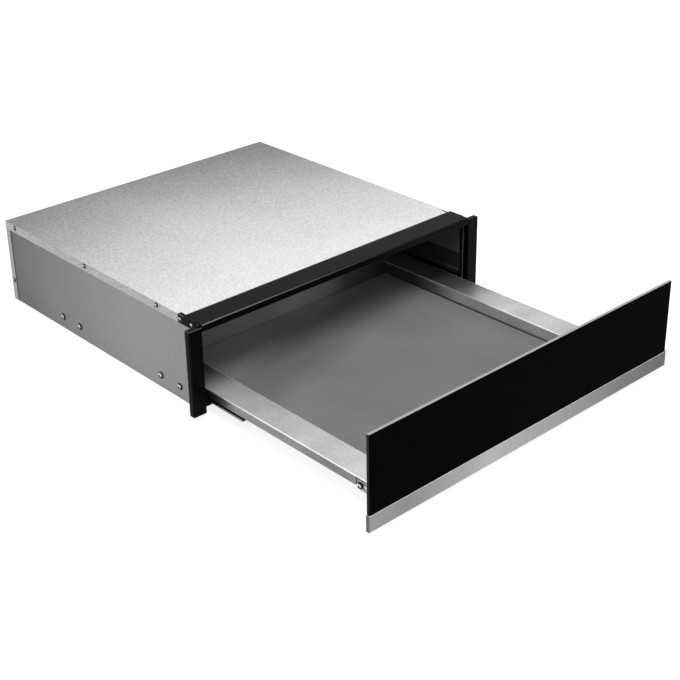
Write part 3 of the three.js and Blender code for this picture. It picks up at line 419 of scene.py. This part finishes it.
# The middle beams are drawn near black: painted shade for the shadow under the tray.
beamZinc = zincPlate("beamZincPaintedShade", "#202122", 0.3)
bracketZinc = zincPlate("pressedBracketZinc", "#9c9ea0", 0.42)
rivetZinc = zincPlate("plainRivetZinc", "#b6b8ba", 0.25)
ballSteel = zincPlate("hardenedBallSteel", "#d6d8da", 0.15)
screwZinc = screwWithPaintedHighlight("screwZincPaintedHighlight", "#1e1f20", "#eceef0")
heaterTube = heatTintedTube("heatTintedHeaterTube")
frontGlass = printedGlass("blackPrintedGlass", "#a9adad", "#34373a")
# Painted shade on the mat where the frame shades it; painted light further back and to the left.
matPaintedShade = {"axis": "Y", "slant": -0.3, "stops": [
    (-80, "#ffffff"), (-125, "#f2f2f2"), (-160, "#e0e0e0"), (-190, "#b2b2b2"), (-245, "#b0b0b0"),
    (-285, "#c3c3c3"), (-370, "#b8b8b8"), (-612, "#b4b4b4")]}
matSilicone = siliconeRubber("mouldedSiliconeMat", "#c6c6c6", "#8e8e8e", matPaintedShade)
bumperRubber = siliconeRubber("bumperRubber", "#333436", "#26272a")
darkPlastic = mouldedPlastic("mouldedPolyamideBlack", "#232427", 0.5)
palePlastic = mouldedPlastic("mouldedPolyamideIvory", "#d3d2ca", 0.5)
greyPlastic = mouldedPlastic("mouldedRunnerStopGrey", "#9a9c9e", 0.45)
scaleInk = mouldedPlastic("padPrintedScaleInk", "#dcdcd8", 0.6, grain=0.3)
lensAmber = amberLens("amberPolycarbonateLens")
print("finishes made:", len(bpy.data.materials))


# Shades the bends of a node round and its edges sharp, once a weld has joined its tessellated faces again.
def bendShading():
    group = bpy.data.node_groups.new("bendShading", "GeometryNodeTree")
    group.interface.new_socket("Geometry", in_out="INPUT", socket_type="NodeSocketGeometry")
    group.interface.new_socket("Geometry", in_out="OUTPUT", socket_type="NodeSocketGeometry")
    shape = addNode(group, "NodeGroupInput").outputs[0]
    angle = addNode(group, "GeometryNodeInputMeshEdgeAngle").outputs[0]
    sharp = addNode(group, "FunctionNodeCompare", {0: angle, 1: math.radians(50)}, operation="GREATER_THAN")
    plain = addNode(group, "GeometryNodeSetMeshNormal", {
        "Mesh": shape, "Remove Custom": True, "Edge Sharpness": sharp.outputs[0], "Face Sharpness": False,
    }, mode="SHARPNESS")
    addNode(group, "NodeGroupOutput", {0: plain.outputs[0]})
    return group


bendGroup = bendShading()
weldDistance = 0.002 * mm
seamDistance = 0.001 * mm


def shadeEdges(piece, edgeRadius, segments=2):
    # edgeRadius is the break of the sheared or moulded edges, in mm; 0 leaves them as they are
    piece.modifiers.new("joinFaces", "WELD").merge_threshold = weldDistance
    if edgeRadius:
        flat = piece.modifiers.new("flatFaces", "DECIMATE")
        flat.decimate_type = "DISSOLVE"
        flat.angle_limit = math.radians(0.4)
        edge = piece.modifiers.new("brokenEdges", "BEVEL")
        edge.width = edgeRadius * mm
        edge.segments = segments
        edge.limit_method = "ANGLE"
        edge.angle_limit = math.radians(50)
        edge.use_clamp_overlap = True
    shading = piece.modifiers.new("bendShading", "NODES")
    shading.node_group = bendGroup
    weighted = piece.modifiers.new("evenShading", "WEIGHTED_NORMAL")
    weighted.keep_sharp = True


def finishNode(name, material, edgeRadius=0.3):
    piece = nodes[name]
    piece.material_slots[0].material = material
    shadeEdges(piece, edgeRadius)


sides = (("left", -1), ("right", 1))
edgeBreak = {"sheet": 0.25, "bar": 0.9, "glass": 0.5, "strip": 0.8, "plastic": 0.5}

finishNode("top_cover", coverSheet, edgeBreak["sheet"])
for name in ("back_panel", "base_panel", "fan_housing", "fan_grille"):
    finishNode(name, rearSheet, edgeBreak["sheet"])
finishNode("heat_shield", shieldEnamel, edgeBreak["sheet"])
finishNode("front_top_rail", framePaint, 0.4)
finishNode("front_bottom_rail", framePaint, edgeBreak["sheet"])
for side, _ in sides:
    finishNode(side + "_side_panel", sideSheet, edgeBreak["sheet"])
    finishNode("front_flange_" + side, framePaint, edgeBreak["bar"])
    finishNode(side + "_side_liner", liningShadeEnamel, edgeBreak["sheet"])
    finishNode(side + "_runner_bracket", runnerZinc, edgeBreak["sheet"])
    for part, zinc in (("outer", runnerZinc), ("middle", beamZinc), ("inner", runnerZinc)):
        finishNode(side + "_runner_" + part, zinc, edgeBreak["sheet"])
    finishNode(side + "_front_bracket", bracketZinc, edgeBreak["sheet"])
    finishNode(side + "_bracket_screw", screwZinc, 0)
    finishNode(side + "_back_screw", screwZinc, 0)
    for i in (1, 2, 3, 4):
        finishNode(side + "_runner_screw_" + str(i), screwZinc, 0)
    for i in (1, 2):
        finishNode(side + "_rail_screw_" + str(i), screwZinc, 0)
finishNode("fan_motor", motorSteel, 0.5)
finishNode("fan_impeller", motorSteel, 0.15)
finishNode("heating_element", heaterTube, 0)
finishNode("thermal_cut_out", palePlastic, 0.3)
finishNode("terminal_box", palePlastic, edgeBreak["plastic"])
finishNode("cable_gland", darkPlastic, edgeBreak["plastic"])
finishNode("latch_body", darkPlastic, edgeBreak["plastic"])
finishNode("latch_plunger", palePlastic, 0.3)
finishNode("bottom_trim", trimBrushed, edgeBreak["strip"])
finishNode("glass_front", frontGlass, edgeBreak["glass"])
finishNode("backing_plate", backingPaint, edgeBreak["sheet"])
finishNode("drawer_tray", trayBrushed, edgeBreak["sheet"])
finishNode("tray_rear_wall", wallBrushed, edgeBreak["sheet"])
finishNode("anti_slip_mat", matSilicone, 0.2)
finishNode("control_housing", darkPlastic, edgeBreak["plastic"])
finishNode("temperature_knob", knobBrushed, 0.25)
finishNode("power_switch", darkPlastic, 0.4)
finishNode("indicator_lens", lensAmber, 0.4)
print("packed nodes finished")


def keepPiece(name, shape, material, body, edgeRadius=0.0):
    bmesh.ops.recalc_face_normals(shape, faces=shape.faces)
    mesh = bpy.data.meshes.new(name)
    shape.to_mesh(mesh)
    shape.free()
    mesh.materials.append(material)
    piece = bpy.data.objects.new(name, mesh)
    bpy.context.scene.collection.objects.link(piece)
    shadeEdges(piece, edgeRadius)
    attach(piece, body)


def middleOf(name):
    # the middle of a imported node's box, in mm
    low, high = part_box(name)
    return [(a + b) / 2 / mm for a, b in zip(low, high)]


def addBlock(shape, low, high):
    # a block between two corners in mm
    size = Vector(high) - Vector(low)
    middle = (Vector(high) + Vector(low)) / 2
    place = Matrix.Translation(middle * mm) @ Matrix.Diagonal((*(size * mm), 1))
    return bmesh.ops.create_cube(shape, size=1, matrix=place)["verts"]


# Turns an axis of Z to a direction, at a point in mm.
def turned(point, direction):
    spin = Vector((0, 0, 1)).rotation_difference(Vector(direction)).to_matrix().to_4x4()
    return Matrix.Translation(Vector(point) * mm) @ spin


def addTurned(shape, profile, place, segments=24):
    # profile is (radius, height) in mm from the axis at the bottom to the axis at the top
    rings = []
    for radius, height in profile:
        if radius == 0:
            rings.append([shape.verts.new(place @ Vector((0, 0, height * mm)))])
            continue
        ring = []
        for i in range(segments):
            angle = 2 * math.pi * i / segments
            point = Vector((radius * math.cos(angle) * mm, radius * math.sin(angle) * mm, height * mm))
            ring.append(shape.verts.new(place @ point))
        rings.append(ring)
    for low, high in zip(rings, rings[1:]):
        for i in range(segments):
            j = (i + 1) % segments
            corners = [low[i % len(low)], low[j % len(low)], high[j % len(high)], high[i % len(high)]]
            shape.faces.new(list(dict.fromkeys(corners)))


def addBead(shape, centre, length, width, height, along, up):
    # a pressed bead: a long dome with round ends, its long axis along, rising along up
    place = turned(centre, up)
    spin = place.to_3x3().inverted() @ Vector(along)
    heading = math.atan2(spin.y, spin.x)
    steps = 10
    levels = ((1.0, 0.0), (0.86, 0.55), (0.6, 0.9), (0.25, 1.0))
    rings = []
    for share, rise in levels:
        radius = width / 2 * share
        ring = []
        for end in (1, -1):
            for i in range(steps + 1):
                angle = heading + (0 if end > 0 else math.pi) - math.pi / 2 + math.pi * i / steps
                point = Vector((
                    end * (length - width) / 2 * math.cos(heading) + radius * math.cos(angle),
                    end * (length - width) / 2 * math.sin(heading) + radius * math.sin(angle),
                    height * rise,
                ))
                ring.append(shape.verts.new(place @ (point * mm)))
        rings.append(ring)
    for low, high in zip(rings, rings[1:]):
        for i in range(len(low)):
            j = (i + 1) % len(low)
            shape.faces.new((low[i], low[j], high[j], high[i]))
    shape.faces.new(rings[-1])
    shape.faces.new(list(reversed(rings[0])))


# The cover's screws are the same small pan heads as those of the rail.
coverScrews = {"rows": (224, 24, -158), "height": 132.8}

for side, _ in sides:
    model = nodes[side + "_rail_screw_1"]
    low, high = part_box(side + "_rail_screw_1")
    for i, row in enumerate(coverScrews["rows"]):
        shape = bmesh.new()
        shape.from_mesh(model.data)
        bmesh.ops.remove_doubles(shape, verts=shape.verts, dist=weldDistance)
        shift = Vector((
            0, row * mm - (low.y + high.y) / 2, coverScrews["height"] * mm - (low.z + high.z) / 2,
        ))
        bmesh.ops.translate(shape, vec=shift, verts=shape.verts)
        keepPiece(side + "_cover_screw_" + str(i + 1), shape, screwZinc, "casing")

# Dark fibre washers round the screw heads: their dark ring stands in for the shade round the heads.
shadeWashers = {"height": 0.5, "width": 1.2, "smallWidth": 0.6, "lap": 0.3, "rim": 0.2,
           "sidePlane": 263, "coverPlane": 264}

for side, sign in sides:
    shape = bmesh.new()
    onSide, onCover = shadeWashers["sidePlane"], shadeWashers["coverPlane"]
    seats = [(side + "_runner_screw_" + str(i), onSide) for i in (1, 2, 3, 4)]
    seats += [(side + "_rail_screw_" + str(i), onCover) for i in (1, 2)] + [(side + "_back_screw", onCover)]
    rounds = []
    for name, plane in seats:
        low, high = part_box(name)
        _, y, z = middleOf(name)
        rounds.append((y, z, (high.z - low.z) / 2 / mm, plane))
    smallHead = rounds[4][2]
    rounds += [(row, coverScrews["height"], smallHead, onCover) for row in coverScrews["rows"]]
    for y, z, head, plane in rounds:
        width = shadeWashers["width"] if plane == onSide else shadeWashers["smallWidth"]
        inner, outer, h = head - shadeWashers["lap"], head + width, shadeWashers["height"]
        ring = [(inner, 0), (outer, 0), (outer, h * 0.6), (outer - shadeWashers["rim"], h), (inner, h), (inner, 0)]
        addTurned(shape, ring, turned((sign * plane, y, z), (sign, 0, 0)), 20)
    bmesh.ops.remove_doubles(shape, verts=shape.verts, dist=seamDistance)
    keepPiece(side + "_screw_washers", shape, darkPlastic, "casing")

# Ball retainers of the runners: strips beside the middle beam's web, with the balls showing.
ballCage = {"offset": 2.6, "thick": 0.6, "low": 14.6, "high": 19.6, "front": -316, "back": -110,
            "ballRadius": 1.7, "pitch": 9.5, "frontRoom": 6, "backRoom": 4}
raceWire = {"inset": 0.15, "width": 1.1, "low": 11.98, "high": 12.55}

for side, _ in sides:
    low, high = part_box(side + "_runner_middle")
    centre = middleOf(side + "_runner_middle")[0]
    strips = bmesh.new()
    balls = bmesh.new()
    for face in (-1, 1):
        x = centre + face * ballCage["offset"]
        addBlock(strips, (x - ballCage["thick"] / 2, ballCage["front"], ballCage["low"]),
                 (x + ballCage["thick"] / 2, ballCage["back"], ballCage["high"]))
        y, z = ballCage["front"] + ballCage["frontRoom"], (ballCage["low"] + ballCage["high"]) / 2
        while y < ballCage["back"] - ballCage["backRoom"]:
            bmesh.ops.create_icosphere(balls, subdivisions=2, radius=ballCage["ballRadius"] * mm,
                                       matrix=Matrix.Translation(Vector((x, y, z)) * mm))
            y += ballCage["pitch"]
    keepPiece(side + "_ball_cage", strips, runnerZinc, side + "_slide", 0.15)
    keepPiece(side + "_cage_balls", balls, ballSteel, side + "_slide")
    # polished wires along the beam's lower edges, on which the outer row of balls runs
    wires = bmesh.new()
    for edge in (low.x / mm, high.x / mm):
        inward = 1 if edge < centre else -1
        near, far = raceWire["inset"], raceWire["inset"] + raceWire["width"]
        reach = sorted((edge + inward * near, edge + inward * far))
        addBlock(wires, (reach[0], low.y / mm, raceWire["low"]),
                 (reach[1], ballCage["back"], raceWire["high"]))
    keepPiece(side + "_race_wires", wires, ballSteel, side + "_slide", 0.1)

# A moulded stop closes the front end of each middle beam.
runnerStop = {"length": 2.4, "halfWidth": 6.0, "low": 13.9, "high": 20.2}

for side, _ in sides:
    centre = middleOf(side + "_runner_middle")[0]
    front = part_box(side + "_runner_middle")[0].y / mm
    shape = bmesh.new()
    addBlock(shape, (centre - runnerStop["halfWidth"], front - runnerStop["length"], runnerStop["low"]),
             (centre + runnerStop["halfWidth"], front, runnerStop["high"]))
    keepPiece(side + "_runner_stop", shape, greyPlastic, side + "_slide", 0.6)

# Rubber bumpers on the backing plate, which stand just before the flange bars when the drawer is shut.
bumper = {"radius": 5, "height": 3.4, "across": 275, "heights": (76, 122), "plateLip": 0.8}
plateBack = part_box("backing_plate")[1].y / mm - bumper["plateLip"]

for side, sign in sides:
    for i, z in enumerate(bumper["heights"]):
        shape = bmesh.new()
        r, h = bumper["radius"], bumper["height"]
        profile = [(0, 0), (r, 0), (r, h * 0.45), (r * 0.92, h * 0.72), (r * 0.7, h * 0.92),
                   (r * 0.35, h), (0, h)]
        addTurned(shape, profile, turned((sign * bumper["across"], plateBack, z), (0, 1, 0)))
        keepPiece(side + "_bumper_" + str(i + 1), shape, bumperRubber, "drawer")

# Blind rivets through the feet of the front brackets.
rivet = {"head": 2.6, "dome": 1.0, "stem": 0.9, "across": (264, 278), "heights": (41, 53),
         "footSheet": 1.2}
footBack = plateBack + rivet["footSheet"]

for side, sign in sides:
    shape = bmesh.new()
    for x in rivet["across"]:
        for z in rivet["heights"]:
            profile = [(0, 0), (rivet["head"], 0), (rivet["head"] * 0.9, rivet["dome"] * 0.55),
                       (rivet["head"] * 0.55, rivet["dome"]), (rivet["stem"], rivet["dome"]),
                       (rivet["stem"], rivet["dome"] * 0.4), (0, rivet["dome"] * 0.4)]
            addTurned(shape, profile, turned((sign * x, footBack, z), (0, 1, 0)), 16)
    keepPiece(side + "_foot_rivets", shape, rivetZinc, "drawer")

# The scale round the knob: short raised ticks from cool to hot, longer every fourth.
knobScale = {"ticks": 13, "sweep": 270, "inner": 13.4, "outer": 14.9, "long": 15.6,
             "width": 0.5, "rise": 0.2}
knobX, knobY, _ = middleOf("temperature_knob")
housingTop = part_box("control_housing")[1].z / mm

shape = bmesh.new()
for i in range(knobScale["ticks"]):
    turn = math.radians(90 + knobScale["sweep"] / 2 - knobScale["sweep"] * i / (knobScale["ticks"] - 1))
    reach = knobScale["long"] if i % 4 == 0 else knobScale["outer"]
    corners = addBlock(shape, (knobScale["inner"], -knobScale["width"] / 2, 0),
                       (reach, knobScale["width"] / 2, knobScale["rise"]))
    place = Matrix.Translation(Vector((knobX, knobY, housingTop)) * mm) @ Matrix.Rotation(turn, 4, "Z")
    bmesh.ops.transform(shape, matrix=place, verts=corners)
keepPiece("knob_scale", shape, scaleInk, "drawer")

# A raised bezel round the rocker, and beside its ends the line and the ring for on and off.
rocker = {"reach": (10.7, 6.2), "bezel": 1.2, "rise": 0.9, "markOut": 2.9, "line": 4, "ring": 1.9,
          "stroke": 0.5, "markRise": 0.2}
rockerX, rockerY, _ = middleOf("power_switch")
reachX, reachY = rocker["reach"]
edgeX, edgeY = reachX + rocker["bezel"], reachY + rocker["bezel"]

shape = bmesh.new()
for low, high in (((-edgeX, -edgeY), (edgeX, -reachY)), ((-edgeX, reachY), (edgeX, edgeY)),
                  ((-edgeX, -reachY), (-reachX, reachY)), ((reachX, -reachY), (edgeX, reachY))):
    addBlock(shape, (rockerX + low[0], rockerY + low[1], housingTop),
             (rockerX + high[0], rockerY + high[1], housingTop + rocker["rise"]))
keepPiece("switch_bezel", shape, darkPlastic, "drawer", 0.25)

shape = bmesh.new()
x, half, stroke = rockerX - edgeX - rocker["markOut"], rocker["line"] / 2, rocker["stroke"]
rise = rocker["markRise"]
addBlock(shape, (x - stroke / 2, rockerY - half, housingTop),
         (x + stroke / 2, rockerY + half, housingTop + rise))
inner, outer = rocker["ring"] - stroke, rocker["ring"]
ring = [(inner, 0), (outer, 0), (outer, rise), (inner, rise), (inner, 0)]
addTurned(shape, ring, turned((rockerX + edgeX + rocker["markOut"], rockerY, housingTop), (0, 0, 1)), 28)
bmesh.ops.remove_doubles(shape, verts=shape.verts, dist=seamDistance)
keepPiece("switch_marks", shape, scaleInk, "drawer")

# A plated bezel round the indicator lens.
lens = {"inner": 2.9, "outer": 4.2, "rise": 0.8}
lensX, lensY, _ = middleOf("indicator_lens")
shape = bmesh.new()
ring = [(lens["inner"], 0), (lens["outer"], 0), (lens["outer"] * 0.94, lens["rise"]),
        (lens["inner"], lens["rise"]), (lens["inner"], 0)]
addTurned(shape, ring, turned((lensX, lensY, housingTop), (0, 0, 1)), 32)
bmesh.ops.remove_doubles(shape, verts=shape.verts, dist=seamDistance)
keepPiece("lens_bezel", shape, rivetZinc, "drawer")

# Pressed beads stiffen the back panel on both sides of its vents.
backBeads = {"across": (-236, -112, 112, 204, 240), "middle": 67, "length": 92, "width": 10, "rise": 1.6}
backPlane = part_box("back_panel")[1].y / mm

shape = bmesh.new()
for x in backBeads["across"]:
    addBead(shape, (x, backPlane, backBeads["middle"]), backBeads["length"], backBeads["width"],
            backBeads["rise"], (0, 0, 1), (0, 1, 0))
keepPiece("back_panel_beads", shape, rearSheet, "casing")

# Screws through the back panel hold the fan housing, the terminal box and the latch; one more is for earth.
backFixings = {"head": 3.1, "rise": 1.9, "places": (
    (-96, 66), (-96, 116), (96, 66), (96, 116), (-196, 99), (-148, 69), (152, 29), (168, 29), (-132, 84))}

shape = bmesh.new()
for x, z in backFixings["places"]:
    r, h = backFixings["head"], backFixings["rise"]
    profile = [(0, 0), (r, 0), (r, h * 0.35), (r * 0.9, h * 0.7), (r * 0.62, h * 0.95), (r * 0.4, h), (0, h)]
    addTurned(shape, profile, turned((x, backPlane, z), (0, 1, 0)), 20)
keepPiece("back_fixing_screws", shape, rivetZinc, "casing")

# Cross recesses of those screws, drawn as dark blocks: painted shade in the recesses; the upright slot stands a
# hair higher than the level one.
recessShade = {"arm": 1.7, "half": 0.35, "depth": 0.3, "levelTop": 0.04, "uprightTop": 0.05}
crown = backPlane + backFixings["rise"]
arm, half, bottom = recessShade["arm"], recessShade["half"], crown - recessShade["depth"]

shape = bmesh.new()
for x, z in backFixings["places"]:
    addBlock(shape, (x - arm, bottom, z - half), (x + arm, crown + recessShade["levelTop"], z + half))
    addBlock(shape, (x - half, bottom, z - arm), (x + half, crown + recessShade["uprightTop"], z + arm))
keepPiece("back_screw_recesses", shape, darkPlastic, "casing")
print("small parts made")

def plainlySeen(tree):
    # 1 for the camera and for what mirrors the studio or shows it through, 0 for light
    path = addNode(tree, "ShaderNodeLightPath").outputs
    seen = maths(tree, "MAXIMUM", path["Is Camera Ray"], path["Is Glossy Ray"])
    return maths(tree, "MAXIMUM", seen, path["Is Transmission Ray"])


# Pale floor: pure white where nothing shades it, for the camera and for what mirrors it.
floorSize = {"reach": 14, "drop": 0.0004, "seenColour": "#bcbcbc", "glow": 0.82}


def paleFloor():
    material, tree, shader, place = startMaterial("paleStudioFloor", Roughness=0.9, Specular_IOR_Level=0.0)
    pale = rampColour(tree, noise(tree, place, 3.0, 2.0), [(0.3, "#f4f4f4"), (0.7, "#f8f8f8")])
    seen = plainlySeen(tree)
    lit = mixColour(tree, seen, pale, linear(floorSize["seenColour"]))
    tree.links.new(lit, shader.inputs["Base Color"])
    white = addNode(tree, "ShaderNodeEmission", {
        "Color": (1, 1, 1, 1), "Strength": spread(tree, seen, 0.0, floorSize["glow"]),
    })
    mixed = addNode(tree, "ShaderNodeAddShader", {0: shader.outputs[0], 1: white.outputs[0]})
    output = [node for node in tree.nodes if node.type == "OUTPUT_MATERIAL"][0]
    tree.links.new(mixed.outputs[0], output.inputs["Surface"])
    return material


shape = bmesh.new()
bmesh.ops.create_grid(shape, x_segments=4, y_segments=4, size=floorSize["reach"])
mesh = bpy.data.meshes.new("floor")
shape.to_mesh(mesh)
shape.free()
floor = bpy.data.objects.new("floor", mesh)
floor.location.z = -floorSize["drop"]
bpy.context.scene.collection.objects.link(floor)
mesh.materials.append(paleFloor())

# World: white for the camera and in mirrors, softer as a light.
studio = {"worldLight": 0.55}
world = bpy.data.worlds.new("softStudio")
bpy.context.scene.world = world
world.use_nodes = True
tree = world.node_tree
tree.nodes.clear()
strength = spread(tree, plainlySeen(tree), studio["worldLight"], 1.0)
back = addNode(tree, "ShaderNodeBackground", {"Color": (1, 1, 1, 1), "Strength": strength})
addNode(tree, "ShaderNodeOutputWorld", {"Surface": back.outputs[0]})

# Lamps: a soft box above and before the casing, and a weaker one at the front right.
lamps = {
    "overheadSoftbox": {
        "place": (-0.15, -1.05, 1.95), "aim": (-0.05, -0.3, 0.05), "size": (0.9, 0.9), "power": 20},
    "frontRightSoftbox": {
        "place": (2.0, -2.0, 1.5), "aim": (0.1, -0.5, 0.05), "size": (1.0, 1.0), "power": 3},
}
for name, lamp in lamps.items():
    light = bpy.data.lights.new(name, "AREA")
    light.shape = "RECTANGLE"
    light.size, light.size_y = lamp["size"]
    light.energy = lamp["power"]
    holder = bpy.data.objects.new(name, light)
    holder.location = lamp["place"]
    aim = Vector(lamp["aim"]) - Vector(lamp["place"])
    holder.rotation_euler = aim.to_track_quat("-Z", "Y").to_euler()
    bpy.context.scene.collection.objects.link(holder)
print("studio lit")

# Camera at the photograph's viewing angle; lens in mm on a 36 mm wide frame.
shot = {"azimuth": -41.462, "elevation": 24.962, "roll": -1.287, "lens": 71.98,
        "place": (-1.2171, -1.5823, 0.9685), "shift": (0.0294, -0.1)}
a, e, r = (math.radians(shot[key]) for key in ("azimuth", "elevation", "roll"))
back = Vector((math.sin(a) * math.cos(e), -math.cos(a) * math.cos(e), math.sin(e)))
right = (-back).cross(Vector((0, 0, 1))).normalized()
up = right.cross(-back)
rolledRight = right * math.cos(r) + up * math.sin(r)
rolledUp = up * math.cos(r) - right * math.sin(r)
data = bpy.data.cameras.new("photoCamera")
data.sensor_width = 36
data.lens = shot["lens"]
data.shift_x, data.shift_y = shot["shift"]
data.clip_start = 0.05
camera = bpy.data.objects.new("photoCamera", data)
camera.matrix_world = Matrix((
    (rolledRight.x, rolledUp.x, back.x, shot["place"][0]),
    (rolledRight.y, rolledUp.y, back.y, shot["place"][1]),
    (rolledRight.z, rolledUp.z, back.z, shot["place"][2]),
    (0, 0, 0, 1),
))
bpy.context.scene.collection.objects.link(camera)
bpy.context.scene.camera = camera
bpy.context.scene.view_settings.view_transform = "Standard"

print("scene ready")
